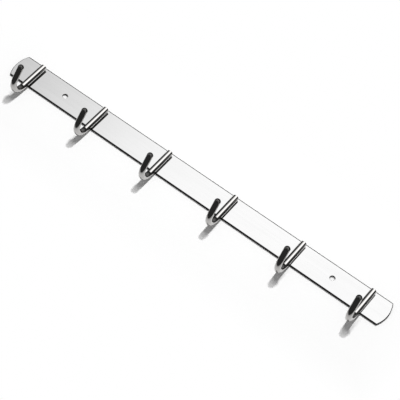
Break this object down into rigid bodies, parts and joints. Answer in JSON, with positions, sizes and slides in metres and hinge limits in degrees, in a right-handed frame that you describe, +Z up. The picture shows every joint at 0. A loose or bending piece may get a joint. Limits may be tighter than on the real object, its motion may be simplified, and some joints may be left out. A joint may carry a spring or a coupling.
{
  "type": "hat rack",
  "caption": "Wall-mounted hat rack: a flat stainless rail with bowed ends and screw holes, and round-rod J hooks welded along its front.",
  "frame": {"origin": "centre of the rail's back face, where it lies on the wall", "axes": "+X along the rail, +Y out of its back face into the wall, +Z up; the hooks stand out towards -Y"},
  "size_m": [0.457, 0.0408, 0.0522],
  "materials": {
    "rail_steel": "satin polished along its length",
    "rod_steel": "mirror polished"
  },
  "bodies": {
    "root": {"back_plate": "rail_steel", "hook_1": "rod_steel", "hook_2": "rod_steel", "hook_3": "rod_steel", "hook_4": "rod_steel", "hook_5": "rod_steel", "hook_6": "rod_steel"}
  },
  "joints": []
}
